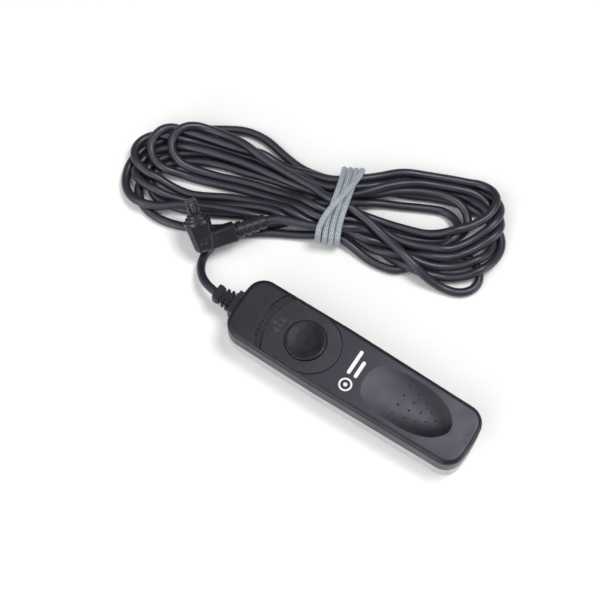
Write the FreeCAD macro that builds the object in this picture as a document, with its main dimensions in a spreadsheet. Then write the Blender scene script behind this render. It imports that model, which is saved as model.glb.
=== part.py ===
import FreeCAD, Part
import math
import os
import re

import Sketcher
from FreeCAD import Placement, Rotation, Vector

# Wired camera remote switch: a handset with a button in a sliding lock plate, a lead
# wound into a tied hank and a right-angle plug.
# Frame: millimetres, +Z up, +Y along the handset towards its lead, +X to the right.
# Origin: centre of the handset's underside.

DIMS = {
    # handset shells
    "case_length": 107.0, "case_width": 28.0, "case_height": 18.0, "parting": 8.4,
    "waist_y": 10.0, "lead_end_width": 27.2, "butt_end_width": 25.9,
    "lead_corner_y": 51.94,
    "butt_corner_y": 52.09, "end_radius": 60.0, "corner_radius": 7.5, "inner_corner": 6.0,
    "top_edge": 2.0, "bottom_edge": 1.6, "seam_round": 0.3,
    "wall": 1.6, "roof": 15.0, "ground_plate": 1.8,
    # lock slide
    "plate_width": 24.8, "plate_low": 16.45, "plate_high": 17.95, "plate_turn_y": 20.0,
    "plate_side_y": 34.7, "plate_arc_y": 16.4, "plate_corner": 1.8, "slide_travel": 3.2,
    "recess_gap": 0.2, "recess_floor": 16.4,
    "slot_half": 11.05, "slot_low_y": 17.8, "slot_high_y": 30.4, "slot_round": 9.7,
    "leg_in": 9.9, "leg_out": 10.9, "leg_low_y": 18.0, "leg_high_y": 27.0, "leg_foot": 10.5,
    "hook_out": 11.9, "hook_low": 13.9, "hook_high": 14.9,
    "bridge_half_y": 4.0, "bridge_top": 11.7, "window_half_y": 2.0,
    "window_low": 10.9, "window_high": 11.4, "bridge_bore": 2.1,
    # button
    "button_y": 22.1, "button_radius": 8.3, "button_gap": 0.25, "button_top": 19.0,
    "button_travel": 2.0, "button_dish": 0.3, "flange_radius": 9.4, "flange_low": 15.4,
    "flange_high": 16.4, "skirt_radius": 7.2, "skirt_top": 17.3,
    "plunger_radius": 1.8, "plunger_foot": 9.6,
    "spring_radius": 3.4, "spring_wire": 0.25,
    # grip dots in the thumb dimple
    "dot_radius": 0.5,
    # contacts
    "stack_low_y": -4.0, "stack_high_y": 5.0, "stack_half": 4.5, "leaf_half": 2.4,
    "leaf_thick": 0.2, "leaf_tip_y": 29.0, "leaf_gap_y": 0.05, "terminal_tail": -7.0,
    "terminal_half": 1.2, "shutter_level": 5.0, "focus_level": 7.0, "common_level": 9.0,
    "stack_top": 10.0, "contact_y": 27.5, "contact_radius": 1.0, "common_contact": 0.4,
    "focus_contact": 0.3, "stack_screw_y": 0.6, "stack_screw_pitch": 4.4,
    "stack_screw_hole": 1.1, "stack_screw_radius": 0.8, "stack_screw_head": 1.5,
    # lead, its clamp and its strain relief
    "cable_radius": 1.8, "cable_level": 9.0, "jacket_end_y": 44.5, "gland_y": 52.2, "gland_end_y": 64.5,
    "clamp_y": 47.5, "clamp_half_y": 1.5, "clamp_half_x": 5.7, "clamp_thick": 1.0,
    "clamp_screw_x": 4.1, "clamp_post": 1.6, "clamp_screw_radius": 0.7,
    "clamp_screw_head": 1.3, "core_radius": 0.45,
    # case screws
    "boss_radius": 2.4, "screw_radius": 1.0, "screw_clearance": 1.15, "screw_head": 2.0,
    "head_recess": 2.2, "recess_depth": 2.6, "head_low": 0.5, "head_high": 2.6,
    "screw_tip": 13.0,
    # plug
    "plug_lift": 8.4, "barrel_half": 4.0, "barrel_high": 3.8, "barrel_foot": -3.6, "barrel_wide": 5.2,
    "barrel_deep": 4.7,
    "barrel_end": 8.4, "barrel_chamfer": 1.4, "arm_end": 13.6, "arm_half": 3.7,
    "arm_chamfer": 0.7, "collar_radius": 5.5, "collar_low": 9.7, "step_radius": 4.4, "step_low": 10.9,
    "socket_radius": 3.4,
    "collar_end": 12.0, "nose_half": 2.2, "nose_high": 1.7, "nose_end": 18.4,
    "nose_shell": 0.35, "relief_end": 26.5, "relief_core": 2.4, "rib_first": 3.5,
    "rib_last": 3.0,
    # hank and its tie
    "waist_half": 14.45, "waist_high": 12.0, "waist_low_u": -4.0, "waist_high_u": 9.0,
    "waist_v": 1.75, "tie_low_u": -2.5, "tie_high_u": 7.5, "tie_thick": 2.2,
}

# The hank lies beside the handset. Its own axis u runs along it and v across it.
HANK_ORIGIN = Vector(55.5, 47.5, 0)
HANK_TURN = -63.43
# The plug lies on the lead in front of the hank, given in the hank's u and v.
PLUG_U = -48.1
PLUG_V = -20.8
PLUG_TURN = 26.5
PLUG_TILT = 38.0

# Thumb dimple: y, half width and depth of each section.
DIMPLE_SECTIONS = [
    (1.0, 11.8, -0.28), (-6.0, 11.7, 0.05), (-14.0, 11.6, 0.55), (-23.0, 11.2, 1.1),
    (-31.0, 10.2, 1.5), (-37.0, 8.2, 1.5), (-41.0, 5.4, 1.0), (-43.4, 2.2, 0.0),
]

# Hank outline: u, lowest v, highest v and height of each section.
LEFT_SECTIONS = [
    (-84.6, 1.0, 7.0, 3.6), (-82.5, -3.0, 17.0, 7.0), (-76.0, -8.5, 25.0, 10.0),
    (-66.0, -12.5, 31.5, 11.5), (-52.0, -14.5, 35.0, 12.0), (-38.0, -14.5, 34.0, 12.0),
    (-26.0, -14.0, 28.0, 11.5), (-14.0, -13.8, 19.0, 11.0),
]
RIGHT_SECTIONS = [
    (20.0, -17.5, 16.5, 11.0), (32.0, -22.0, 20.5, 12.0), (46.0, -25.5, 21.5, 12.0),
    (58.0, -27.5, 21.5, 12.0), (66.0, -21.0, 19.5, 10.0), (71.5, -12.0, 15.0, 7.0),
    (73.4, -7.0, 9.0, 3.6),
]

# Route of the lead, from the strain relief down to the table and round to the hank.
LEAD_ROUTE = [
    (-0.1, 63.9, 9.0), (0.7, 69.0, 8.2), (3.1, 73.6, 6.2), (6.9, 77.2, 3.9),
    (11.7, 79.2, 2.4), (16.7, 79.5, 1.85), (21.7, 77.8, 1.85), (26.1, 74.3, 1.85),
    (30.2, 69.9, 1.85), (33.9, 64.8, 1.85), (37.3, 59.2, 1.85),
]
# Route of the lead from the plug's strain relief on to the hank, in the hank's u and v.
PLUG_ROUTE = [
    (-24.38, -8.97, 8.4), (-20.4, -7.5, 8.8), (-16.0, -7.3, 9.3), (-11.2, -8.2, 9.4),
]

doc = FreeCAD.newDocument("RemoteSwitch")
sheet = doc.addObject("Spreadsheet::Sheet", "Dims")
for row, (alias, size) in enumerate(DIMS.items(), start=1):
    sheet.set("A%d" % row, alias)
    sheet.set("B%d" % row, str(size))
    sheet.setAlias("B%d" % row, alias)
doc.recompute()

NODES = {}


def formula(text):
    """Turn a formula in the sheet's words into an expression."""
    return re.sub(r"[a-z][a-z_]*", lambda word: "Dims." + word.group(0), str(text))


def size_of(text):
    """The number that a formula in the sheet's words gives now."""
    return float(sheet.evalExpression(formula(text)))


def bind(thing, path, text):
    thing.setExpression(path, formula(text))


def move(thing, x="0", y="0", z="0"):
    for letter, text in zip("xyz", (x, y, z)):
        bind(thing, "Placement.Base." + letter, text)


def keep(node, thing, placement=None):
    """Name a finished sub-part, and place it if it was made in another frame."""
    thing.Label = node
    if placement is not None:
        thing.Placement = placement
    NODES[node] = thing
    return thing


def block(x, y, z):
    """A box between low and high formulas on each axis."""
    box = doc.addObject("Part::Box", "Block")
    for side, (low, high) in zip(("Length", "Width", "Height"), (x, y, z)):
        bind(box, side, "(%s) - (%s)" % (high, low))
    move(box, x[0], y[0], z[0])
    return box


AXIS_TURNS = {
    "x": Rotation(Vector(0, 1, 0), 90),
    "y": Rotation(Vector(1, 0, 0), -90),
    "z": Rotation(),
}


def rod(axis, radius, start, length):
    """A cylinder along an axis from a start point given as three formulas."""
    cylinder = doc.addObject("Part::Cylinder", "Rod")
    cylinder.Placement = Placement(Vector(), AXIS_TURNS[axis])
    bind(cylinder, "Radius", radius)
    bind(cylinder, "Height", length)
    move(cylinder, *start)
    return cylinder


def fuse(*pieces):
    joined = doc.addObject("Part::MultiFuse", "Joined")
    joined.Shapes = list(pieces)
    joined.Refine = True
    return joined


def cut(base, tool):
    remainder = doc.addObject("Part::Cut", "Trimmed")
    remainder.Base = base
    remainder.Tool = tool
    return remainder


def group(*pieces):
    """Separate solids that share one sub-part."""
    together = doc.addObject("Part::Compound", "Group")
    together.Links = list(pieces)
    return together


def chamfer(base, width, chosen):
    """Chamfer the edges of a boolean or primitive that a test picks."""
    doc.recompute()
    edges = [i for i, edge in enumerate(base.Shape.Edges, start=1) if chosen(edge)]
    bevelled = doc.addObject("Part::Chamfer", "Bevelled")
    bevelled.Base = base
    bevelled.Edges = [(i, size_of(width), size_of(width)) for i in edges]
    return bevelled


def shape_node(node, shape, placement=None):
    feature = doc.addObject("Part::Feature", "Shaped")
    feature.Shape = shape
    return keep(node, feature, placement)


def new_body():
    return doc.addObject("PartDesign::Body", "Body")


def new_sketch(body, plane, level="0"):
    sketch = body.newObject("Sketcher::SketchObject", "Sketch")
    origin = [item for item in body.Origin.OriginFeatures if item.Role == plane][0]
    sketch.AttachmentSupport = [(origin, "")]
    sketch.MapMode = "FlatFace"
    bind(sketch, "AttachmentOffset.Base.z", level)
    return sketch


def pin_coordinate(sketch, kind, edge, place, text):
    """Hold one coordinate of a sketch point at a formula's value."""
    number = size_of(text)
    if abs(number) < 1e-9:
        axis = -2 if kind == "DistanceX" else -1
        sketch.addConstraint(Sketcher.Constraint("PointOnObject", edge, place, axis))
        return
    ends = (-1, 1, edge, place) if number > 0 else (edge, place, -1, 1)
    index = sketch.addConstraint(Sketcher.Constraint(kind, *ends, abs(number)))
    sign = "" if number > 0 else "-"
    bind(sketch, "Constraints[%d]" % index, "%s(%s)" % (sign, text))


def add_loop(sketch, corners, arcs=None):
    """Draw a closed loop, counter-clockwise. An edge in arcs bulges about a centre at that y."""
    arcs = arcs or {}
    spots = [Vector(size_of(x), size_of(y), 0) for x, y in corners]
    edges = []
    for index, start in enumerate(spots):
        end = spots[(index + 1) % len(spots)]
        if index in arcs:
            centre = Vector((start.x + end.x) / 2, size_of(arcs[index]), 0)
            angles = [math.atan2(p.y - centre.y, p.x - centre.x) for p in (start, end)]
            circle = Part.Circle(centre, Vector(0, 0, 1), (start - centre).Length)
            edges.append(sketch.addGeometry(Part.ArcOfCircle(circle, *angles)))
        else:
            edges.append(sketch.addGeometry(Part.LineSegment(start, end)))
    for index, edge in enumerate(edges):
        following = edges[(index + 1) % len(edges)]
        sketch.addConstraint(Sketcher.Constraint("Coincident", edge, 2, following, 1))
    for edge, (x, y) in zip(edges, corners):
        pin_coordinate(sketch, "DistanceX", edge, 1, x)
        pin_coordinate(sketch, "DistanceY", edge, 1, y)
    for index, level in arcs.items():
        pin_coordinate(sketch, "DistanceY", edges[index], 3, level)


def add_circle(sketch, radius, x="0", y="0"):
    centre = Vector(size_of(x), size_of(y), 0)
    circle = Part.Circle(centre, Vector(0, 0, 1), size_of(radius))
    edge = sketch.addGeometry(circle)
    index = sketch.addConstraint(Sketcher.Constraint("Radius", edge, size_of(radius)))
    bind(sketch, "Constraints[%d]" % index, radius)
    pin_coordinate(sketch, "DistanceX", edge, 3, x)
    pin_coordinate(sketch, "DistanceY", edge, 3, y)


def pad(body, sketch, length):
    feature = body.newObject("PartDesign::Pad", "Pad")
    feature.Profile = sketch
    bind(feature, "Length", length)
    doc.recompute()
    return feature


def pocket(body, sketch, depth, upwards):
    """Cut a pocket and check that it took something away."""
    before = body.Shape.Volume
    feature = body.newObject("PartDesign::Pocket", "Pocket")
    feature.Profile = sketch
    feature.Reversed = upwards
    bind(feature, "Length", depth)
    doc.recompute()
    if body.Shape.Volume > before - 1e-3:
        raise RuntimeError("a pocket cut nothing")
    return feature


def fillet(body, radius, chosen):
    base = body.Tip
    names = ["Edge%d" % i for i, edge in enumerate(base.Shape.Edges, start=1) if chosen(edge)]
    feature = body.newObject("PartDesign::Fillet", "Fillet")
    feature.Base = (base, names)
    bind(feature, "Radius", radius)
    doc.recompute()
    return feature


def revolve(body, corners):
    """Turn a profile of (radius, height) corners about the body's Z axis."""
    sketch = new_sketch(body, "XZ_Plane")
    add_loop(sketch, corners)
    feature = body.newObject("PartDesign::Revolution", "Revolution")
    feature.Profile = sketch
    feature.ReferenceAxis = (sketch, ["V_Axis"])
    feature.Angle = 360
    doc.recompute()
    return feature


def upright(edge):
    box = edge.BoundBox
    return box.ZLength > 0.5 and box.XLength < 0.01 and box.YLength < 0.01


def flat_at(level):
    return lambda edge: (abs(edge.BoundBox.ZMin - level) < 0.01
                         and abs(edge.BoundBox.ZMax - level) < 0.01)


def round_path(points):
    """Straight runs joined by tangent arcs that are as large as their runs allow."""
    spots = [Vector(*p) for p in points]
    edges = []
    radii = []
    start = spots[0]
    for before, corner, after in zip(spots, spots[1:], spots[2:]):
        inward = (before - corner).normalize()
        outward = (after - corner).normalize()
        turn = math.pi - inward.getAngle(outward)
        trim = 0.45 * min((before - corner).Length, (after - corner).Length)
        radii.append(trim / math.tan(turn / 2))
        bisector = (inward + outward).normalize()
        reach = math.hypot(trim, radii[-1]) - radii[-1]
        first = corner + inward * trim
        last = corner + outward * trim
        edges.append(Part.LineSegment(start, first).toShape())
        edges.append(Part.Arc(first, corner + bisector * reach, last).toShape())
        start = last
    edges.append(Part.LineSegment(start, spots[-1]).toShape())
    return Part.Wire(edges), radii


def tube(points, radius):
    """A round cable along a path. Returns its solid."""
    path, radii = round_path(points)
    heading = Vector(*points[1]) - Vector(*points[0])
    section = Part.Wire(Part.makeCircle(radius, Vector(*points[0]), heading))
    solid = path.makePipeShell([section], True, False)
    expected = math.pi * radius ** 2 * path.Length
    print("tube: length %.1f, smallest radius %.1f, volume ratio %.4f"
          % (path.Length, min(radii), solid.Volume / expected))
    return solid


# --- handset shells ---------------------------------------------------------------------

def case_outline(inset):
    """Corners of the shell's plan outline, widest at the waist, and its two end arcs."""
    lead = "lead_end_width / 2 - %s" % inset
    waist = "case_width / 2 - %s" % inset
    butt = "butt_end_width / 2 - %s" % inset
    high = "lead_corner_y - %s" % inset
    low = "%s - butt_corner_y" % inset
    corners = [
        (butt, low), (waist, "waist_y"), (lead, high),
        ("-(%s)" % lead, high), ("-(%s)" % waist, "waist_y"), ("-(%s)" % butt, low),
    ]
    arcs = {2: "case_length / 2 - end_radius", 5: "end_radius - case_length / 2"}
    return corners, arcs


def recess_outline(gap, travel):
    """Corners of the slide plate grown by gap, or of the recess it slides in."""
    side = "plate_width / 2 + %s" % gap
    high = "plate_side_y + %s" % travel
    corners = [("-(%s)" % side, "plate_turn_y"), (side, "plate_turn_y"),
               (side, high), ("-(%s)" % side, high)]
    return corners, {0: "plate_turn_y", 2: "plate_arc_y + %s" % travel}


SCREW_SPOTS = [("0", "-45"), ("8.6", "44.6"), ("-8.6", "44.6")]


def dimple_tool():
    """What the thumb dimple takes away. It deepens slowly and ends in a lip at the butt."""
    top = size_of("case_height")
    wires = []
    for y, half, depth in DIMPLE_SECTIONS:
        ends = [Vector(-half, y, top + 0.3), Vector(half, y, top + 0.3)]
        arc = Part.Arc(ends[0], Vector(0, y, top - depth), ends[1])
        wires.append(Part.Wire([arc.toShape(), Part.LineSegment(ends[1], ends[0]).toShape()]))
    return Part.makeLoft(wires, True, False)


def make_top_cover():
    body = new_body()
    outline = new_sketch(body, "XY_Plane", "parting")
    add_loop(outline, *case_outline("0"))
    pad(body, outline, "case_height - parting")
    fillet(body, "corner_radius", upright)
    fillet(body, "top_edge", flat_at(size_of("case_height")))
    seam_edges = flat_at(size_of("parting"))
    fillet(body, "seam_round", seam_edges)
    cavity = new_sketch(body, "XY_Plane", "parting")
    add_loop(cavity, *case_outline("wall"))
    pocket(body, cavity, "roof - parting", True)
    recess = new_sketch(body, "XY_Plane", "recess_floor")
    add_loop(recess, *recess_outline("recess_gap", "slide_travel"))
    pocket(body, recess, "case_height - recess_floor + 1", True)

    slot = fuse(
        block(("-slot_half", "slot_half"), ("slot_low_y", "slot_high_y"), ("roof - 1", "case_height")),
        rod("z", "slot_round", ("0", "button_y", "roof - 1"), "4"),
        rod("z", "slot_round", ("0", "button_y + slide_travel", "roof - 1"), "4"))
    notch = block(("-3.4", "3.4"), ("gland_y - 3", "gland_y + 3"),
                  ("parting - 1", "cable_level + 3.1"))
    dimple = doc.addObject("Part::Feature", "Dimple")
    dimple.Shape = dimple_tool()
    bosses = [rod("z", "boss_radius", (x, y, "parting"), "roof - parting + 0.5")
              for x, y in SCREW_SPOTS]
    holes = [rod("z", "screw_radius", (x, y, "parting - 1"), "screw_tip - parting + 1")
             for x, y in SCREW_SPOTS]
    hollow = cut(fuse(body, *bosses), fuse(slot, notch, dimple, *holes))
    doc.recompute()

    # Fourteen grip dots in a triangle, each a low dome on the dimple's surface.
    rows = [(-21.5, 4, 4.35), (-26.2, 4, 3.65), (-30.4, 3, 4.25), (-34.1, 2, 4.3), (-37.0, 1, 0)]
    dots = []
    for y, count, pitch in rows:
        for place in range(count):
            x = (place - (count - 1) / 2) * pitch
            probe = Part.makeLine(Vector(x, y, size_of("roof") + 0.2), Vector(x, y, 30))
            surface = hollow.Shape.common(probe).BoundBox.ZMax
            dot = doc.addObject("Part::Sphere", "Dot")
            bind(dot, "Radius", "dot_radius")
            dot.Placement.Base = Vector(x, y, surface - 0.2)
            dots.append(dot)
    # Serrations in the part of the recess floor that the plate leaves free.
    serrations = [block((str(x - 0.3), str(x + 0.3)), ("38.9", "41.1"), ("recess_floor - 0.4", "plate_low"))
                  for x in range(-8, 9, 2)]
    keep("top_cover", cut(fuse(hollow, *dots), fuse(*serrations)))


def make_bottom_cover():
    body = new_body()
    outline = new_sketch(body, "XY_Plane")
    add_loop(outline, *case_outline("0"))
    pad(body, outline, "parting")
    fillet(body, "corner_radius", upright)
    fillet(body, "bottom_edge", flat_at(0))
    cavity = new_sketch(body, "XY_Plane", "ground_plate")
    add_loop(cavity, *case_outline("wall"))
    pocket(body, cavity, "parting - ground_plate + 1", True)

    posts = [rod("z", "boss_radius", (x, y, "ground_plate - 0.5"), "parting - ground_plate + 0.5")
             for x, y in SCREW_SPOTS]
    for side in ("clamp_screw_x", "-clamp_screw_x"):
        posts.append(rod("z", "clamp_post", (side, "clamp_y", "ground_plate - 0.5"),
                         "cable_level + cable_radius - ground_plate + 0.5"))
    holes = [rod("z", "screw_clearance", (x, y, "-1"), "parting + 2") for x, y in SCREW_SPOTS]
    holes += [rod("z", "head_recess", (x, y, "-1"), "recess_depth + 1") for x, y in SCREW_SPOTS]
    holes += [rod("z", "clamp_screw_radius", (x, "clamp_y", "6"), "8")
              for x in ("clamp_screw_x", "-clamp_screw_x")]
    notch = block(("-3.4", "3.4"), ("gland_y - 3", "gland_y + 3"),
                  ("cable_level - 3.1", "parting + 1"))
    keep("bottom_cover", cut(fuse(body, *posts), fuse(notch, *holes)))


def make_case_screws():
    screws = []
    for x, y in SCREW_SPOTS:
        shank = rod("z", "screw_radius", (x, y, "head_high"), "screw_tip - head_high")
        head = rod("z", "screw_head", (x, y, "head_low"), "head_high - head_low")
        drive = fuse(
            block((x + " - 1.2", x + " + 1.2"), (y + " - 0.25", y + " + 0.25"), ("0", "1.3")),
            block((x + " - 0.25", x + " + 0.25"), (y + " - 1.2", y + " + 1.2"), ("0", "1.3")))
        screws.append(cut(fuse(shank, head), drive))
    keep("case_screws", group(*screws))


# --- lock slide and button --------------------------------------------------------------

def make_slide_plate():
    body = new_body()
    outline = new_sketch(body, "XY_Plane", "plate_low")
    add_loop(outline, *recess_outline("0", "0"))
    pad(body, outline, "plate_high - plate_low")
    fillet(body, "plate_corner", upright)
    fillet(body, "0.3", flat_at(size_of("plate_high")))
    opening = new_sketch(body, "XY_Plane", "plate_low")
    add_circle(opening, "button_radius + button_gap", "0", "button_y")
    pocket(body, opening, "plate_high - plate_low + 1", True)

    legs = []
    windows = []
    for low, high, hook_low, hook_high in (
            ("leg_in", "leg_out", "leg_in", "hook_out"),
            ("-leg_out", "-leg_in", "-hook_out", "-leg_in")):
        along = ("leg_low_y", "leg_high_y")
        legs.append(block((low, high), along, ("leg_foot", "plate_low + 0.3")))
        legs.append(block((hook_low, hook_high), along, ("hook_low", "hook_high")))
        windows.append(block((low + " - 1", high + " + 1"),
                             ("button_y - window_half_y", "button_y + window_half_y"),
                             ("window_low", "window_high")))
    # A raised arrow that points to the locked position, over a bar of three ticks.
    arrow = doc.addObject("Part::Prism", "Arrow")
    arrow.Polygon = 3
    arrow.Circumradius = 0.9
    arrow.Height = 0.45
    arrow.Placement = Placement(Vector(0, 36.3, size_of("plate_high") - 0.3),
                                Rotation(Vector(0, 0, 1), 90))
    ticks = [block((str(x - 0.4), str(x + 0.4)), ("33.0", "34.5"), ("plate_high - 0.3", "plate_high + 0.12"))
             for x in (-2.4, 0.0, 2.4)]
    keep("slide_plate", cut(fuse(body, *legs, arrow, *ticks), fuse(*windows)))


def make_slide_bridge():
    bar = block(("-leg_in", "leg_in"), ("button_y - bridge_half_y", "button_y + bridge_half_y"),
                ("leg_foot", "bridge_top"))
    tab = block(("-leg_out", "leg_out"), ("button_y - window_half_y", "button_y + window_half_y"),
                ("window_low", "window_high"))
    bore = rod("z", "bridge_bore", ("0", "button_y", "leg_foot - 1"), "4")
    keep("slide_bridge", cut(fuse(bar, tab), bore))


def make_button_cap():
    body = new_body()
    revolve(body, [
        ("0", "plunger_foot"), ("plunger_radius", "plunger_foot"), ("plunger_radius", "skirt_top"),
        ("skirt_radius", "skirt_top"), ("skirt_radius", "flange_low"),
        ("flange_radius", "flange_low"), ("flange_radius", "flange_high"),
        ("button_radius", "flange_high"), ("button_radius", "button_top - 0.5"),
        ("button_radius - 0.15", "button_top - 0.15"), ("button_radius - 0.5", "button_top"),
        ("button_radius - 1.2", "button_top"), ("button_radius / 2", "button_top - button_dish * 0.7"),
        ("0", "button_top - button_dish"),
    ])
    move(body, "0", "button_y", "0")
    keep("button_cap", body)


def make_return_spring():
    """A coil between the slide bridge and the underside of the cap, with closed ends."""
    wire = size_of("spring_wire")
    low = size_of("bridge_top") + wire
    high = size_of("skirt_top") - wire
    turns = 4.5
    helix = Part.makeHelix((high - low) / turns, high - low, size_of("spring_radius"))
    start = Vector(size_of("spring_radius"), 0, 0)
    section = Part.Wire(Part.makeCircle(wire, start, Vector(0, 1, 0)))
    coil = Part.Wire(helix.Edges).makePipeShell([section], True, True)
    coil.translate(Vector(0, size_of("button_y"), low))
    shape_node("return_spring", coil)


# --- contacts ---------------------------------------------------------------------------

STACK_SCREWS = ("stack_screw_y - stack_screw_pitch / 2", "stack_screw_y + stack_screw_pitch / 2")


def stack_layer(half, y, z):
    """One layer of the contact stack, with clearance for the two screws."""
    layer = block(("-" + half, half), y, z)
    holes = [rod("z", "stack_screw_hole", ("0", spot, z[0] + " - 1"), "%s - (%s) + 2" % (z[1], z[0]))
             for spot in STACK_SCREWS]
    return cut(layer, fuse(*holes))


def make_contacts():
    stack = ("stack_low_y", "stack_high_y")
    base = block(("-stack_half", "stack_half"), stack, ("ground_plate", "shutter_level"))
    base_holes = [rod("z", "stack_screw_radius", ("0", spot, "ground_plate + 0.8"), "9")
                  for spot in STACK_SCREWS]
    keep("contact_base", cut(base, fuse(*base_holes)))
    spacers = [
        ("shutter_level + leaf_thick", "focus_level"),
        ("focus_level + leaf_thick", "common_level"),
        ("common_level + leaf_thick", "stack_top"),
    ]
    keep("contact_spacers", group(*[stack_layer("stack_half", stack, z) for z in spacers]))

    tail = ("terminal_tail", "stack_low_y")
    for node, level, reach in (("common_terminal", "common_level", "stack_high_y"),
                               ("focus_terminal", "focus_level", "stack_high_y"),
                               ("shutter_leaf", "shutter_level", "leaf_tip_y")):
        height = (level, level + " + leaf_thick")
        strip = stack_layer("leaf_half", ("stack_low_y", reach), height)
        lug = block(("-terminal_half", "terminal_half"), tail, height)
        keep(node, fuse(strip, lug))

    for node, level, depth in (("common_leaf", "common_level", "common_contact"),
                               ("focus_leaf", "focus_level", "focus_contact")):
        blade = block(("-leaf_half", "leaf_half"), ("stack_high_y + leaf_gap_y", "leaf_tip_y"),
                      (level, level + " + leaf_thick"))
        point = rod("z", "contact_radius", ("0", "contact_y", "%s - %s" % (level, depth)),
                    depth + " + leaf_thick / 2")
        keep(node, fuse(blade, point))

    screws = []
    for spot in STACK_SCREWS:
        shank = rod("z", "stack_screw_radius", ("0", spot, "ground_plate + 0.8"),
                    "stack_top - ground_plate - 0.8")
        head = rod("z", "stack_screw_head", ("0", spot, "stack_top"), "0.9")
        screws.append(fuse(shank, head))
    keep("contact_screws", group(*screws))


# --- lead inside the handset ------------------------------------------------------------

def make_cable_entry():
    keep("jacket_end", rod("y", "cable_radius", ("0", "jacket_end_y", "cable_level"),
                           "gland_end_y - jacket_end_y"))
    bar = block(("-clamp_half_x", "clamp_half_x"), ("clamp_y - clamp_half_y", "clamp_y + clamp_half_y"),
                ("cable_level + cable_radius", "cable_level + cable_radius + clamp_thick"))
    bar_holes = []
    screws = []
    for x in ("clamp_screw_x", "-clamp_screw_x"):
        bar_holes.append(rod("z", "clamp_screw_radius + 0.1", (x, "clamp_y", "cable_level"), "6"))
        shank = rod("z", "clamp_screw_radius", (x, "clamp_y", "6.5"),
                    "cable_level + cable_radius + clamp_thick - 6.5")
        head = rod("z", "clamp_screw_head",
                   (x, "clamp_y", "cable_level + cable_radius + clamp_thick"), "0.8")
        screws.append(fuse(shank, head))
    keep("cable_clamp", cut(bar, fuse(*bar_holes)))
    keep("clamp_screws", group(*screws))


def make_core_wires():
    """Three cores fan out of the jacket, run along the floor and rise to their terminals."""
    radius = size_of("core_radius")
    level = size_of("cable_level")
    tail = size_of("terminal_tail")
    rows = [("wire_common", 0.0, 0.9, 7.6, "common_level"),
            ("wire_shutter", 0.8, -0.5, 9.6, "shutter_level"),
            ("wire_focus", -0.8, -0.5, -7.6, "focus_level")]
    for node, x, lift, side, terminal in rows:
        top = size_of(terminal) + size_of("leaf_thick") + radius
        inner = 0.6 if side > 0 else -0.6
        shape_node(node, tube([
            (x, size_of("jacket_end_y"), level + lift), (x + side * 0.12, 41.5, level + lift - 0.4),
            (side * 0.75, 37.0, 5.2 + lift), (side, 31.0, 3.2), (side, 16.0, 2.9), (side, 2.0, 3.1),
            (side * 0.9, -5.5, 4.0), (side * 0.62, -9.4, (4.0 + top) / 2 + 0.4),
            (inner * 3.0, -10.0, top + 0.3), (inner, tail - 0.2, top), (inner, tail + 1.6, top),
        ], radius))


def make_strain_relief():
    """Rubber boot: a flange each side of the wall, a slotted taper and an end collar."""
    level = "cable_level"
    pieces = [
        block(("-4.6", "4.6"), ("gland_y - 2.4", "gland_y - 1.2"), (level + " - 4", level + " + 4")),
        block(("-3.4", "3.4"), ("gland_y - 1.2", "gland_y + 1.5"), (level + " - 3.1", level + " + 3.1")),
        block(("-5", "5"), ("gland_y + 1.4", "gland_y + 3.6"), (level + " - 4.2", level + " + 4.2")),
        block(("-3.3", "3.3"), ("62.3", "gland_end_y"), (level + " - 2.9", level + " + 2.9")),
    ]
    taper = doc.addObject("Part::Wedge", "Taper")
    taper.Xmin, taper.Xmax, taper.Zmin, taper.Zmax = -3.9, 3.9, -3.3, 3.3
    taper.X2min, taper.X2max, taper.Z2min, taper.Z2max = -2.9, 2.9, -2.6, 2.6
    taper.Ymin, taper.Ymax = 55.5, 62.6
    move(taper, "0", "0", "cable_level")
    slots = []
    for y in (57.0, 59.0, 61.0):
        for side in (("0.8", "5"), ("-5", "-0.8")):
            along = (str(y - 0.5), str(y + 0.5))
            slots.append(block(side, along, (level + " + 1.9", level + " + 5")))
            slots.append(block(side, along, (level + " - 5", level + " - 1.9")))
        for side in (("2.1", "5"), ("-5", "-2.1")):
            slots.append(block(side, (str(y - 0.5), str(y + 0.5)), (level + " - 5", level + " + 5")))
    bore = rod("y", "cable_radius", ("0", "gland_y - 5", level), "20")
    slotted = cut(taper, fuse(*slots))
    boot = chamfer(fuse(*pieces), "0.4", lambda edge: edge.BoundBox.YMax > 64.4
                   or (edge.BoundBox.YMin > 53.7 and edge.BoundBox.YMax < 55.9
                       and edge.BoundBox.YLength > 1))
    keep("strain_relief", cut(fuse(boot, slotted), bore))


# --- free lead, hank and tie ------------------------------------------------------------

HANK_PLACE = Placement(HANK_ORIGIN, Rotation(Vector(0, 0, 1), HANK_TURN))


def plug_placement():
    tilt = Rotation(Vector(1, 0, 0), PLUG_TILT)
    local = Placement(Vector(PLUG_U, PLUG_V, size_of("plug_lift")),
                      Rotation(Vector(0, 0, 1), PLUG_TURN).multiply(tilt))
    return HANK_PLACE.multiply(local)


def ellipse_wire(u, v_low, v_high, height):
    """One upright section across the hank, standing on the table."""
    half = (v_high - v_low) / 2
    centre = Vector(u, (v_high + v_low) / 2, height / 2)
    points = 16
    spots = []
    for step in range(points):
        angle = 2 * math.pi * step / points
        spots.append(centre + Vector(0, half * math.cos(angle), height / 2 * math.sin(angle)))
    curve = Part.BSplineCurve()
    curve.interpolate(spots, PeriodicFlag=True)
    return Part.Wire(curve.toShape())


def waist_section(grow):
    middle = size_of("waist_v")
    half = size_of("waist_half") + grow
    return middle - half, middle + half, size_of("waist_high")


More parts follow.
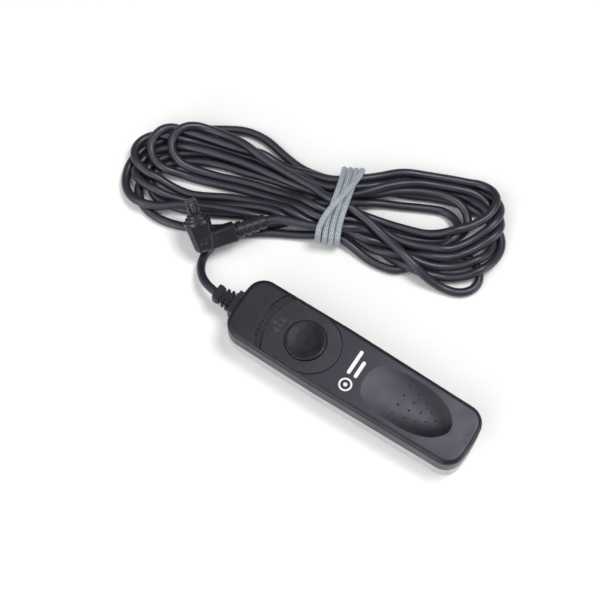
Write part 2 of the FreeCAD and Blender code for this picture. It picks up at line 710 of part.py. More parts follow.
def make_hank():
    """Two lobes of turns joined by a straight waist where the tie sits."""
    low, high, height = waist_section(0)
    waist_low = (size_of("waist_low_u"), low, high, height)
    waist_high = (size_of("waist_high_u"), low, high, height)
    parts = []
    for rows in (LEFT_SECTIONS + [waist_low], [waist_low, waist_high], [waist_high] + RIGHT_SECTIONS):
        parts.append(Part.makeLoft([ellipse_wire(*row) for row in rows], True, len(rows) == 2))
    hank = parts[0].fuse(parts[1:]).removeSplitter()
    hank.Placement = HANK_PLACE
    notches = [Part.makeBox(33.5, 9.4, 30, Vector(-4.8, -4.7, -4.6)),
               Part.makeBox(11.6, 24.0, 30, Vector(-5.8, -4.7, -5.8))]
    for notch in notches:
        notch.Placement = plug_placement()
    solid = hank.cut(notches)
    return max(solid.Solids, key=lambda piece: piece.Volume)


def tie_arc(u, half, rise, drop):
    """An open arc of an ellipse over the waist, from one side of the table to the other."""
    centre = Vector(u, size_of("waist_v"), rise)
    spots = []
    for step in range(27):
        angle = math.radians(-drop + step * (180 + 2 * drop) / 26)
        spots.append(centre + Vector(0, half * math.cos(angle), rise * math.sin(angle)))
    curve = Part.BSplineCurve()
    curve.interpolate(spots)
    return curve.toShape(), spots[0], spots[-1]


def make_tie():
    """A flat band of elastic turns over the waist. Its two ends stop just above the table."""
    half, height, thick = (size_of(name) for name in ("waist_half", "waist_high", "tie_thick"))
    u_low, u_high = size_of("tie_low_u"), size_of("tie_high_u")
    outer, outer_start, outer_end = tie_arc(u_low, half + thick, (height + thick) / 2, 50)
    inner, inner_start, inner_end = tie_arc(u_low, half, height / 2, 50)
    ends = [Part.LineSegment(outer_start, inner_start).toShape(),
            Part.LineSegment(outer_end, inner_end).toShape()]
    profile = Part.Face(Part.Wire(Part.__sortEdges__([outer, inner] + ends)))
    band = profile.extrude(Vector(u_high - u_low, 0, 0))
    band.Placement = HANK_PLACE
    return band


def make_cord():
    radius = size_of("cable_radius")
    hank = make_hank()
    shape_node("cord_hank", hank)
    shape_node("elastic_tie", make_tie())
    inside_boot = Part.makeBox(20, 20, 20, Vector(-10, size_of("gland_end_y") - 20, 0))
    lead = tube(LEAD_ROUTE, radius).cut([hank, inside_boot])
    first = min(lead.Solids, key=lambda piece: piece.BoundBox.XMin)
    shape_node("cord_lead", first)
    plug_route = [tuple(HANK_PLACE.multVec(Vector(*spot))) for spot in PLUG_ROUTE]
    plug_lead = tube(plug_route, radius).cut(hank)
    shape_node("plug_lead", max(plug_lead.Solids, key=lambda piece: piece.Volume))


# --- plug -------------------------------------------------------------------------------

def make_plug():
    """Right-angle plug: X along its arm, Y along its barrel and nose."""
    place = plug_placement()
    wedge = doc.addObject("Part::Wedge", "Barrel")
    for side, sign in (("min", "-"), ("max", "")):
        wedge.setExpression("X" + side, sign + "Dims.barrel_half")
        wedge.setExpression("Z" + side, sign + "Dims.barrel_high")
        wedge.setExpression("X2" + side, sign + "Dims.barrel_wide")
        wedge.setExpression("Z2" + side, sign + "Dims.barrel_deep")
    wedge.setExpression("Ymin", "Dims.barrel_foot")
    wedge.setExpression("Ymax", "Dims.barrel_end")
    barrel = chamfer(wedge, "barrel_chamfer",
                     lambda edge: edge.BoundBox.YMax < size_of("barrel_end") - 0.01
                     or edge.BoundBox.YLength > 5)
    arm = chamfer(block(("0", "arm_end"), ("barrel_foot", "arm_half"), ("-arm_half", "arm_half")),
                  "arm_chamfer", lambda edge: edge.BoundBox.XLength > 5)
    socket = fuse(rod("y", "socket_radius", ("0", "3", "0"), "8"),
                  rod("x", "relief_core", ("arm_end - 4", "0", "0"), "6"))
    dashes = []
    for column, lean in ((-1.6, 25), (0.2, -25)):
        for row in range(3):
            dash = block(("-0.5", "0.5"), ("-0.16", "0.16"), ("0", "0.45"))
            dash.setExpression("Placement.Base.x", None)
            dash.setExpression("Placement.Base.y", None)
            dash.setExpression("Placement.Base.z", None)
            dash.Placement = Placement(Vector(column, 3.4 - 1.7 * row, size_of("barrel_high")),
                                       Rotation(Vector(0, 0, 1), lean))
            dashes.append(dash)
    keep("plug_housing", cut(fuse(barrel, arm, *dashes), socket), place)

    collar = fuse(rod("y", "collar_radius", ("0", "barrel_end", "0"), "collar_low - barrel_end"),
                  rod("y", "step_radius", ("0", "barrel_end", "0"), "step_low - barrel_end"),
                  rod("y", "socket_radius", ("0", "3", "0"), "collar_end - 3"))
    seat = block(("-nose_half", "nose_half"), ("6", "collar_end + 1"), ("-nose_high", "nose_high"))
    keep("plug_collar", cut(collar, seat), place)

    shell = chamfer(block(("-nose_half", "nose_half"), ("6", "nose_end"), ("-nose_high", "nose_high")),
                    "0.3", lambda edge: edge.BoundBox.YMin > size_of("nose_end") - 0.01)
    hollow = block(("-nose_half + nose_shell", "nose_half - nose_shell"), ("7", "nose_end + 1"),
                   ("-nose_high + nose_shell", "nose_high - nose_shell"))
    key = block(("-0.5", "0.5"), ("collar_end + 1.6", "nose_end - 1.2"), ("nose_high - 0.2", "nose_high + 0.3"))
    keep("plug_nose", fuse(cut(shell, hollow), key), place)

    core = block(("-nose_half + nose_shell", "nose_half - nose_shell"), ("7", "nose_end - 0.5"),
                 ("-nose_high + nose_shell", "nose_high - nose_shell"))
    contact_spots = (-1.1, 0.0, 1.1)
    contact_holes = [rod("y", "0.3", (str(x), "7", "0"), "15") for x in contact_spots]
    keep("plug_insulator", cut(core, fuse(*contact_holes)), place)
    pins = [rod("y", "0.3", (str(x), "7", "0"), "nose_end - 7.2") for x in contact_spots]
    keep("plug_contacts", group(*pins), place)

    # Ribbed strain relief: four ribs on a core, each a little smaller than the one before.
    body = new_body()
    corners = [("cable_radius", "arm_end - 3"), ("relief_core", "arm_end - 3"),
               ("relief_core", "arm_end")]
    ribs = 4
    pitch = "(relief_end - arm_end) / %d" % ribs
    for rib in range(ribs):
        start = "arm_end + %d * %s" % (rib, pitch)
        wide = "rib_first - (rib_first - rib_last) * %d / %d" % (rib, ribs - 1)
        corners += [
            ("relief_core + 0.35", start + " + 0.01"), ("relief_core + 0.35", start + " + 0.9"),
            (wide, start + " + 1.1"), (wide, "%s + %s - 0.2" % (start, pitch)),
        ]
    corners += [("relief_core + 0.35", "relief_end"), ("cable_radius", "relief_end")]
    revolve(body, corners)
    turned = Placement(Vector(), Rotation(Vector(0, 1, 0), 90))
    keep("plug_relief", body, place.multiply(turned))


make_top_cover()
make_bottom_cover()
make_case_screws()
make_slide_plate()
make_slide_bridge()
make_button_cap()
make_return_spring()
make_contacts()
make_cable_entry()
make_core_wires()
make_strain_relief()
make_cord()
make_plug()
doc.recompute()

failed = [item.Label for item in doc.Objects if {"Invalid", "Error"} & set(item.State)]
if failed:
    raise RuntimeError("failed objects: %s" % failed)
for node, thing in NODES.items():
    if thing.Shape.isNull() or not thing.Shape.isValid():
        raise RuntimeError("bad shape: " + node)

os.makedirs("parts", exist_ok=True)
for node, thing in NODES.items():
    thing.Shape.exportStep("parts/%s.step" % node)
print("wrote %d sub-parts" % len(NODES))
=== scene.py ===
import math

import bmesh
import bpy
import numpy as np
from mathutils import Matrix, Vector


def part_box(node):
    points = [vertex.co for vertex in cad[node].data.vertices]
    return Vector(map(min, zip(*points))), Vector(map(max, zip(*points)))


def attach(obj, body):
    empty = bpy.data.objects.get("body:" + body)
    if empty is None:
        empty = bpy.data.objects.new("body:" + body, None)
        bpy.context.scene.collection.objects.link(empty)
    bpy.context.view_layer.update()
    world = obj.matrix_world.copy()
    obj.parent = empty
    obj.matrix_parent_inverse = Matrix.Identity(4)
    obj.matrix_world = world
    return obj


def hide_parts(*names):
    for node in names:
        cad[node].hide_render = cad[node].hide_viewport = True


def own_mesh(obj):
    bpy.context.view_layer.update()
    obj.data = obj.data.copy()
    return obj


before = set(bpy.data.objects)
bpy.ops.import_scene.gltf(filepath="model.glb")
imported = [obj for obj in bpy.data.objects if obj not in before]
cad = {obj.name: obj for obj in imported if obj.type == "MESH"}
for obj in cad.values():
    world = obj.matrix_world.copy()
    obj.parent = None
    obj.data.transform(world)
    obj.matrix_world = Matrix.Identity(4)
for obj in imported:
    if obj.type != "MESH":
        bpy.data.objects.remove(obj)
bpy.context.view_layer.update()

# A wired remote switch for a camera. The scene is in metres, in the CAD model's frame. The
# cord, its tie and the print are laid out in millimetres, and MM scales them as they are made.

MM = 0.001

# --- building blocks --------------------------------------------------------------------


def placed(name, data):
    """A new object in the scene that holds this data."""
    piece = bpy.data.objects.new(name, data)
    bpy.context.collection.objects.link(piece)
    return piece


def aimed(spot, target):
    """The rotation that points a camera or a light at a target."""
    return (Vector(target) - Vector(spot)).to_track_quat("-Z", "Y").to_euler()


def mesh_piece(name, mesh, smooth):
    """A finished bmesh as an object in the scene."""
    data = bpy.data.meshes.new(name)
    mesh.to_mesh(data)
    mesh.free()
    for face in data.polygons:
        face.use_smooth = smooth
    return placed(name, data)


def skin(mesh, rings, closed):
    """Join each ring of points to the next, and the last to the first when it is closed."""
    following = rings[1:] + rings[:1] if closed else rings[1:]
    for here, there in zip(rings, following):
        around = len(here)
        for first in range(around):
            second = (first + 1) % around
            mesh.faces.new((here[first], here[second], there[second], there[first]))


def evenly(points, step, closed=False):
    """Points about a step apart along a line of straight pieces."""
    if closed:
        points = np.vstack([points, points[:1]])
    along = np.concatenate([[0], np.cumsum(np.linalg.norm(np.diff(points, axis=0), axis=1))])
    count = int(along[-1] / step) if closed else int(round(along[-1] / step)) + 1
    spots = np.linspace(0, along[-1], count, endpoint=not closed)
    return np.column_stack([np.interp(spots, along, column) for column in points.T])


# --- camera -----------------------------------------------------------------------------

camera_data = bpy.data.cameras.new("camera")
camera_data.lens = 90
camera_data.sensor_width = 36
camera_data.clip_start = 0.01
camera = placed("camera", camera_data)
camera.location = (-0.1554, -0.0766, 0.5697)
camera.rotation_euler = aimed(camera.location, (0.01829, 0.03653, 0))
bpy.context.scene.camera = camera

# --- the cord's route -------------------------------------------------------------------

CABLE = 3.6
# Where the middle of a strand is laid on the table, and how much higher each layer is.
ON_TABLE = 1.85
LAYER = 3.75

# The hank has its own frame: u runs along it and v across it, from near the tie.
HANK_ORIGIN = np.array([55.5, 47.5])
HANK_TURN = math.radians(-63.43)

# The tie draws the strands together about this u, and keeps them between these two v.
WAIST_MIDDLE = 2.5
WAIST_SIDES = (-11.0, 14.4)
# How far the turns of the tie that pass below lift the strands.
WAIST_LIFT = 2.2

# How the hank settles, in millimetres a round or as a share of the way: the space between its
# points and between two strands' middles, how far a point goes to the middle of its neighbours
# in plan and in height, how far back to its place, how much further at the waist, and its fall.
HANK_STEP = 3.2
STRAND_GAP = CABLE * 1.03
LEAST_BEND = 10.0
PLAN_EASE = 0.45
HEIGHT_EASE = 0.4
PLACE_PULL = 0.10
WAIST_PULL = 0.25
FALL = 0.16
LAST_FALL = 0.05
OPENING_ROUNDS = 160
SETTLING_ROUNDS = 260
ROUNDS_A_SEARCH = 6
PUSHES_A_ROUND = 5

# From the strain relief to the hank in the object's frame, as in the CAD model.
LEAD_ROUTE = [
    (0.0, 64.5, 9.0), (0.7, 69.0, 8.2), (3.1, 73.6, 6.2), (6.9, 77.2, 3.9),
    (11.7, 79.2, 2.4), (16.7, 79.5, 1.85), (21.7, 77.8, 1.85), (26.1, 74.3, 1.85),
    (30.2, 69.9, 1.85), (33.9, 64.8, 1.85), (37.3, 59.2, 1.85),
]

# From the hank to the plug in the hank's frame, as in the CAD model.
PLUG_ROUTE = [(-11.2, -8.2, 9.4), (-16.0, -7.3, 9.3), (-20.4, -7.5, 8.8), (-24.38, -8.97, 8.4)]

# Every pass of the cord through the tie and round a lobe: u, v and how many layers up a point
# is laid, before the hank settles. The right lobe has positive u.
PASSES = [
    # 1. Right lobe: out on the table along the near side, back over everything else.
    [(-9, -10.9, 0), (0, -10.8, 0), (6, -11.0, 0), (12, -14.0, 0), (19.5, -18.6, 0),
     (27, -20.9, 0), (34.5, -20.4, 0), (42, -16.6, 0), (50, -13.2, 0), (56, -12.0, 0),
     (62.6, -14.6, 0.3), (65.2, -20.2, 1.0), (62.6, -26.0, 2.0), (56.4, -28.4, 3.5),
     (48.8, -27.0, 6), (41, -23.6, 8), (33, -17.6, 8.5), (23.5, -9.6, 8.5), (14, -2.8, 8.5),
     (6.5, 1.2, 8.5)],
    # 2. Left lobe, seven layers up, and back six up.
    [(0, 3.2, 8.5), (-8, 8.4, 8), (-18, 13.6, 7.5), (-28, 18.6, 7), (-38, 24.5, 7),
     (-48.5, 29.4, 7), (-58, 30.6, 7), (-65.5, 28.4, 6.6), (-69, 23.6, 6.2), (-66, 17.6, 6),
     (-58.5, 13.2, 6), (-46, 10.6, 6), (-30, 8.4, 6), (-18, 5.0, 6), (-8, 1.0, 6)],
    # 3. Right lobe, seven layers up, and back six up.
    [(0, -1.7, 6), (10, -0.6, 7), (20, -2.2, 7), (30, -4.6, 7), (42, -6.0, 7), (53, -4.2, 7),
     (63, 1.2, 7), (69.6, 8.6, 6.8), (69.8, 14.6, 6.4), (63, 17.4, 6), (53, 18.6, 6),
     (42, 19.0, 6), (31, 18.6, 6), (20, 16.0, 6), (10, 13.4, 6)],
    # 4. Left lobe, six layers up, and back five up.
    [(0, 12.9, 6), (-10, 15.0, 6), (-20, 17.4, 6), (-30, 20.2, 6), (-40, 23.4, 6),
     (-50, 26.0, 6), (-60, 28.4, 6), (-69, 28.2, 5.6), (-75.6, 24.4, 5.3), (-76.8, 18.2, 5),
     (-71.4, 13.0, 5), (-62, 10.6, 5), (-50, 9.2, 5), (-34, 7.0, 5), (-20, 3.0, 5),
     (-8, -2.6, 5)],
    # 5. Right lobe, six layers up, and back five up.
    [(0, -5.3, 5), (10, -3.6, 5.6), (20, -6.6, 6), (31, -10.6, 6), (42, -12.0, 6),
     (54, -10.2, 6), (65, -2.4, 6), (70.4, 5.4, 6), (68.6, 12.0, 5.4), (60, 15.6, 5),
     (50, 17.6, 5), (38, 17.8, 5), (26, 15.6, 5), (14, 12.0, 5)],
    # 6. Left lobe, five layers up, and back four up.
    [(0, 9.3, 5), (-12, 13.2, 5), (-24, 17.0, 5), (-36, 21.0, 5), (-50, 24.6, 5),
     (-62, 26.6, 5), (-73, 26.4, 5), (-80.4, 23.2, 4.7), (-83.4, 17.0, 4.5),
     (-80.4, 11.0, 4.2), (-73.4, 8.0, 4), (-66, 4.8, 4), (-55, 1.6, 4), (-41, 2.4, 4),
     (-26, 0.6, 4), (-12, -4.4, 3)],
    # 7. Right lobe, five layers up, and back four up.
    [(0, -7.15, 3), (10, -7.8, 4), (20, -11.0, 4.6), (31, -14.2, 5), (41, -15.6, 5),
     (52, -14.4, 5), (61, -9.8, 5), (68.4, -3.0, 5), (70.6, 3.6, 4.8), (66, 10.8, 4.4),
     (56, 15.0, 4), (44, 16.0, 4), (30, 14.2, 4), (14, 9.6, 4)],
    # 8. Left lobe, four layers up, and back three up.
    [(0, 5.6, 4), (-12, 10.0, 4), (-26, 14.4, 4), (-40, 18.4, 4), (-54, 21.0, 4),
     (-68, 22.0, 4), (-78.6, 18.6, 4), (-83.2, 12.4, 3.6), (-80, 7.4, 3.2), (-73.6, 2.2, 3),
     (-66, -1.0, 3), (-56, -2.2, 3), (-40, -1.6, 3), (-24, -2.4, 3), (-10, -4.8, 1)],
    # 9. Right lobe, four layers up, and back three up.
    [(0, -3.5, 1), (10, -7.4, 2), (20, -12.4, 3), (31, -16.6, 4), (41, -18.8, 4),
     (50, -18.8, 4), (59, -16.8, 4), (66.4, -11.8, 4), (69.4, -5.2, 4), (68, 3.0, 3.6),
     (61, 11.0, 3.2), (50, 14.8, 3), (36, 15.6, 3), (24, 15.4, 3), (12, 14.8, 2)],
    # 10. Left lobe, two layers up: the loose outer arc of its far side, and back.
    [(0, 14.6, 1), (-11, 17.4, 1), (-20, 23.6, 2), (-28.6, 30.2, 2), (-37.4, 33.4, 2.4),
     (-47, 33.2, 2.4), (-58, 31.4, 2), (-69, 27.0, 2), (-78, 19.0, 2), (-83.6, 9.0, 2),
     (-83.4, 1.8, 1.8), (-78, -4.2, 1.8), (-70, -5.8, 1.8), (-60, -4.4, 2), (-46, -4.0, 2),
     (-28, -4.6, 2), (-12, -2.4, 1)],
    # 11. Right lobe, three layers up, and back two up.
    [(0, 0.15, 1), (10, -4.8, 1.4), (20, -11.6, 2), (31, -18.0, 3), (43, -21.8, 3),
     (54, -22.6, 3), (64, -19.2, 3), (70.6, -11.6, 3), (71.6, -4.0, 3), (67, 4.4, 2.8),
     (58, 10.4, 2.4), (46, 12.8, 2), (32, 12.6, 2), (16, 11.6, 1.4)],
    # 12. Left lobe, one layer up, and back on the table.
    [(0, 11.1, 1), (-12, 13.8, 1), (-26, 17.6, 1), (-40, 20.4, 1), (-54, 21.6, 1),
     (-67, 19.0, 1), (-76.4, 12.0, 1), (-79.4, 4.0, 1), (-76.8, -4.0, 0.8), (-69, -9.8, 0.3),
     (-58, -12.4, 0), (-46, -12.0, 0), (-32, -9.4, 0), (-18, -6.0, 0.2), (-8, -1.0, 0.6)],
    # 13. Right lobe, a shorter loop: two layers up, and back four up.
    [(0, 3.8, 1), (10, -0.4, 1), (20, -4.4, 1.6), (32, -8.0, 2), (44, -8.4, 2),
     (53, -5.4, 2), (58.4, 0.2, 2.6), (56.6, 6.6, 3.4), (49.8, 11.4, 4), (40, 13.6, 4.2),
     (28, 12.8, 4), (14, 10.6, 2)],
    # 14. Left lobe, a shorter loop: two layers up, and back one up.
    [(0, 7.45, 1), (-12, 9.4, 1.4), (-26, 13.2, 2), (-40, 16.0, 2), (-54, 17.4, 2),
     (-66, 15.6, 2), (-73.6, 9.6, 2), (-74.8, 3.0, 1.6), (-68, -1.8, 1.2), (-56, -4.4, 1),
     (-40, -4.6, 1), (-24, -3.4, 1.6), (-10, 0.6, 4)],
    # 15. Right lobe, the shortest loop: five layers up, down to three, and up again on its way back.
    [(0, 1.95, 5), (10, 5.8, 5), (20, 7.0, 5), (30, 6.8, 5), (40, 6.8, 5), (48.0, 5.8, 4.6),
     (54.0, 1.6, 4.2), (54.6, -4.2, 3.6), (49.4, -9.0, 3), (40, -10.2, 3), (28, -9.2, 4.6),
     (18, -8.8, 6), (10, -8.8, 7)],
    # Over the waist to the plug.
    [(0, -9.0, 7), (-6, -8.9, 6.4)],
]


def turned(points, angle):
    """Points turned about the vertical."""
    cosine, sine = math.cos(angle), math.sin(angle)
    out = np.array(points, float)
    x, y = out[:, 0].copy(), out[:, 1].copy()
    out[:, 0] = cosine * x - sine * y
    out[:, 1] = sine * x + cosine * y
    return out


def to_object(points):
    """Points of the hank's frame in the object's."""
    out = turned(points, HANK_TURN)
    out[:, :2] += HANK_ORIGIN
    return out


def to_hank(points):
    """Points of the object's frame in the hank's."""
    out = np.array(points, float)
    out[:, :2] -= HANK_ORIGIN
    return turned(out, -HANK_TURN)


def through(points, step):
    """Points a step apart on a smooth curve through the given ones."""
    p = np.array(points, float)
    p = np.vstack([2 * p[0] - p[1], p, 2 * p[-1] - p[-2]])
    t = np.linspace(0, 1, 12, endpoint=False)[:, None]
    rows = []
    for a, b, c, d in zip(p, p[1:], p[2:], p[3:]):
        rows.append(0.5 * (2 * b + (c - a) * t + (2 * a - 5 * b + 4 * c - d) * t ** 2
                           + (3 * b - a - 3 * c + d) * t ** 3))
    return evenly(np.vstack(rows + [p[-2:-1]]), step)


def open_bends(points, free):
    """Open out every bend that is tighter than the least radius."""
    bend = 0.5 * (points[:-2] + points[2:]) - points[1:-1]
    size = np.linalg.norm(bend, axis=1) + 1e-9
    most = np.sum((points[2:] - points[:-2]) ** 2, axis=1) / (8 * LEAST_BEND)
    over = bend * np.clip(1 - most / size, 0, 1)[:, None]
    shift = np.zeros_like(points)
    shift[1:-1] += 0.5 * over
    shift[:-2] -= 0.25 * over
    shift[2:] -= 0.25 * over
    return points + shift * free


def drift(points, plan, waist, fall):
    """One round's move: along with its neighbours, back to its place in plan, and down."""
    slip = points[:, :2] - plan
    move = np.zeros_like(points)
    move[1:-1, :2] = PLAN_EASE * (0.5 * (slip[:-2] + slip[2:]) - slip[1:-1])
    move[:, :2] -= (PLACE_PULL + WAIST_PULL * waist) * slip
    move[1:-1, 2] = HEIGHT_EASE * (0.5 * (points[:-2, 2] + points[2:, 2]) - points[1:-1, 2])
    move[:, 2] -= fall
    return move


def push_apart(points, free, one, other):
    """Move two strands that overlap away from each other, half of the overlap each."""
    between = points[one] - points[other]
    length = np.linalg.norm(between, axis=1) + 1e-9
    push = np.clip(STRAND_GAP - length, 0, None) / length
    total = np.zeros_like(points)
    hits = np.zeros(len(points))
    np.add.at(total, one, 0.5 * push[:, None] * between)
    np.add.at(hits, one, push > 0)
    return points + total * free * (1.25 / np.sqrt(np.maximum(hits, 1)))[:, None]


def tie_lift(u):
    """How far the tie lifts a strand off the table: fully near it, and not at all 14 mm away."""
    return WAIST_LIFT * np.clip(1 - (np.abs(u - WAIST_MIDDLE) - 5) / 9, 0, 1)


def settle(points, fixed):
    """Let the stacked turns drop until they rest on the table, the tie and each other.

    Each point falls, keeps near its place in plan and is pushed out of any other strand.
    """
    free = np.where(fixed, 0.0, 1.0)[:, None]
    for _ in range(OPENING_ROUNDS):
        points = open_bends(points, free)
    plan = points[:, :2].copy()
    number = np.arange(len(points))
    apart = np.abs(number[:, None] - number[None]) > 3
    waist = np.clip(1.6 - np.abs(points[:, 0] - WAIST_MIDDLE) / 6, 0, 1)[:, None]
    held = (waist[:, 0] > 0.9) & ~fixed
    for turn in range(SETTLING_ROUNDS):
        if turn % ROUNDS_A_SEARCH == 0:
            distance = np.linalg.norm(points[:, None] - points[None], axis=2)
            one, other = np.nonzero((distance < STRAND_GAP + 2.0) & apart)
        fall = FALL if turn < SETTLING_ROUNDS * 0.75 else LAST_FALL
        points = points + drift(points, plan, waist, fall) * free
        for _ in range(PUSHES_A_ROUND):
            points = push_apart(points, free, one, other)
            lowest = CABLE / 2 + tie_lift(points[:, 0])
            points[:, 2] = np.where(fixed, points[:, 2], np.maximum(points[:, 2], lowest))
            points[:, 1] = np.where(held, np.clip(points[:, 1], *WAIST_SIDES), points[:, 1])
            points = open_bends(points, free)
    return points


def cord_route():
    """The whole cord's control points in metres, from the strain relief to the plug."""
    laid = [(u, v, ON_TABLE + LAYER * level) for row in PASSES for u, v, level in row]
    lead = to_hank(LEAD_ROUTE)
    wound = through([tuple(lead[-1])] + laid, HANK_STEP)
    points = np.vstack([lead[:-1], wound, PLUG_ROUTE])
    fixed = np.zeros(len(points), bool)
    fixed[:len(lead) - 1] = True
    fixed[-2:] = True
    return to_object(settle(points, fixed)) * MM


def tube(name, line, radius):
    """A round tube along a NURBS line. Each point's radius scales a bevel of 1 m."""
    curve = bpy.data.curves.new(name, "CURVE")
    curve.dimensions = "3D"
    curve.bevel_depth = 1.0
    curve.bevel_resolution = 5
    curve.resolution_u = 3
    curve.use_fill_caps = True
    spline = curve.splines.new("NURBS")
    spline.points.add(len(line) - 1)
    for point, spot in zip(spline.points, line):
        point.co = (*spot, 1)
        point.radius = radius
    spline.order_u = 3
    spline.use_endpoint_u = True
    return placed(name, curve)


cord = tube("cord", cord_route(), CABLE / 2 * MM)
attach(cord, "handset")
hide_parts("cord_lead", "cord_hank", "plug_lead")

# --- elastic tie ------------------------------------------------------------------------

TIE_RADIUS = 1.2
# Where each turn of the tie crosses the near and the far side of the hank, and whether it
# lies over the turns before it.
TIE_TURNS = [(0.4, 5.2, 0), (3.0, 7.7, 0), (5.5, 10.2, 0), (-2.4, 12.6, 1)]
# A turn's middle and its half width and half height, across the hank and up.
TIE_CENTRE = (1.7, 7.3)
TIE_HALF = (15.9, 6.0)
# How much higher the turn over the others stands on top.
TIE_OVER = 2.2
TIE_POINTS = 240
# An ellipse's power is 2. A higher one has fuller shoulders.
TIE_POWER = 2.8

BRAID_STEP = 0.2 * MM
BRAID_AROUND = 24
# How many rings long one diamond of the weave is, and how many there are around.
DIAMOND_RINGS = 8
DIAMONDS_AROUND = 8
# A groove's share of the tie's radius, and how much more a diamond's middle has.
BRAID_GROOVE = 0.88
BRAID_RELIEF = 0.18


def tie_line(near_u, far_u, over):
    """One turn of the tie round the waist, close to an ellipse with fuller shoulders."""
    spots = []
    for step in range(TIE_POINTS):
        angle = 2 * math.pi * step / TIE_POINTS
        cosine, sine = math.cos(angle), math.sin(angle)
        share = (abs(cosine) ** TIE_POWER + abs(sine) ** TIE_POWER) ** (-1 / TIE_POWER)
        lift = over * TIE_OVER * max(0.0, sine) ** 0.5 * max(0.0, 1 - abs(cosine) ** 6)
        v = TIE_CENTRE[0] + TIE_HALF[0] * share * cosine
        z = TIE_CENTRE[1] + TIE_HALF[1] * share * sine + lift
        across = (v - TIE_CENTRE[0] + TIE_HALF[0]) / (2 * TIE_HALF[0])
        eased = across * across * (3 - 2 * across)
        spots.append((near_u + (far_u - near_u) * eased, v, z))
    return to_object(spots) * MM


def braid_rings(mesh, line, radius):
    """Rings along a closed line that swell at each diamond, and how proud each point is."""
    along = evenly(line, BRAID_STEP, closed=True)
    tangents = np.roll(along, -1, axis=0) - np.roll(along, 1, axis=0)
    tangents /= np.linalg.norm(tangents, axis=1)[:, None]
    hank_way = Vector(turned([(1.0, 0.0, 0.0)], HANK_TURN)[0])
    diamonds = round(len(along) / DIAMOND_RINGS)
    rings, proud = [], []
    for k, (spot, tangent) in enumerate(zip(along, tangents)):
        tangent = Vector(tangent)
        side = tangent.cross(hank_way).normalized()
        up = side.cross(tangent)
        phase = math.pi * k * diamonds / len(along)
        ring = []
        for m in range(BRAID_AROUND):
            angle = 2 * math.pi * m / BRAID_AROUND
            slant = DIAMONDS_AROUND / 2 * angle
            weave = abs(math.sin(phase + slant)) * abs(math.sin(phase - slant))
            reach = radius * (BRAID_GROOVE + BRAID_RELIEF * weave)
            outward = math.cos(angle) * side + math.sin(angle) * up
            ring.append(mesh.verts.new(Vector(spot) + reach * outward))
            proud.append(weave)
        rings.append(ring)
    return rings, proud


def braided_tube(name, lines, radius):
    """Closed tubes whose surface carries the diamond relief of a woven elastic cord."""
    mesh = bmesh.new()
    weave = []
    for line in lines:
        rings, proud = braid_rings(mesh, line, radius)
        skin(mesh, rings, closed=True)
        weave += proud
    bmesh.ops.recalc_face_normals(mesh, faces=mesh.faces)
    piece = mesh_piece(name, mesh, smooth=True)
    piece.data.attributes.new("weave", "FLOAT", "POINT").data.foreach_set("value", weave)
    return piece


tie = braided_tube("tie_cord", [tie_line(*turn) for turn in TIE_TURNS], TIE_RADIUS * MM)
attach(tie, "handset")
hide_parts("elastic_tie")

# --- button spring ----------------------------------------------------------------------

SPRING_RADIUS = 3.4 * MM
SPRING_WIRE = 0.25 * MM
SPRING_TURNS = 5.5
SPRING_RINGS = 260
SPRING_AROUND = 10


def coil_spring(name, middle, low, high):
    """An upright coil with closed ends: its pitch is nil at each end and most between."""
    mesh = bmesh.new()
    rings = []
    for k in range(SPRING_RINGS + 1):
        share = k / SPRING_RINGS
        angle = 2 * math.pi * SPRING_TURNS * share
        rise = share * share * (3 - 2 * share)
        level = low + SPRING_WIRE + (high - low - 2 * SPRING_WIRE) * rise
        ring = []
        for m in range(SPRING_AROUND):
            turn = 2 * math.pi * m / SPRING_AROUND
            reach = SPRING_RADIUS + SPRING_WIRE * math.cos(turn)
            ring.append(mesh.verts.new((middle.x + reach * math.cos(angle),
                                        middle.y + reach * math.sin(angle),
                                        level + SPRING_WIRE * math.sin(turn))))
        rings.append(ring)
    skin(mesh, rings, closed=False)
    mesh.faces.new(rings[0])
    mesh.faces.new(rings[-1][::-1])
    bmesh.ops.recalc_face_normals(mesh, faces=mesh.faces)
    return mesh_piece(name, mesh, smooth=True)


low, high = (Vector(corner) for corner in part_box("return_spring"))
middle = (low + high) / 2
spring = coil_spring("button_spring", middle, low.z, high.z)
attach(spring, "lock_plate")
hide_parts("return_spring")
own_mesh(spring)

# --- printed mark -----------------------------------------------------------------------

# The print lies this high, just clear of the cover's top face.
PRINT_LEVEL = 18.02
RING_CENTRE = (-6.6, -0.4)
RING_OUTER = 2.7
RING_INNER = 2.0
RING_PARTS = 40
DOT_RADIUS = 0.8
ROUND_PARTS = 24
# Each bar's low and high x, then its low and high y.
BARS = [(-2.4, 8.4, 0.4, 1.9), (-2.4, 5.2, -2.7, -1.2)]


def arc(centre, radius, start, sweep, parts):
    """Points on part of a circle, from its start to the end of its sweep."""
    spots = []
    for k in range(parts + 1):
        angle = start + sweep * k / parts
        spots.append((centre[0] + radius * math.cos(angle), centre[1] + radius * math.sin(angle)))
    return spots


def flat_shape(mesh, outline):
    """One flat face at the level of the print."""
    mesh.faces.new([mesh.verts.new((x * MM, y * MM, PRINT_LEVEL * MM)) for x, y in outline])


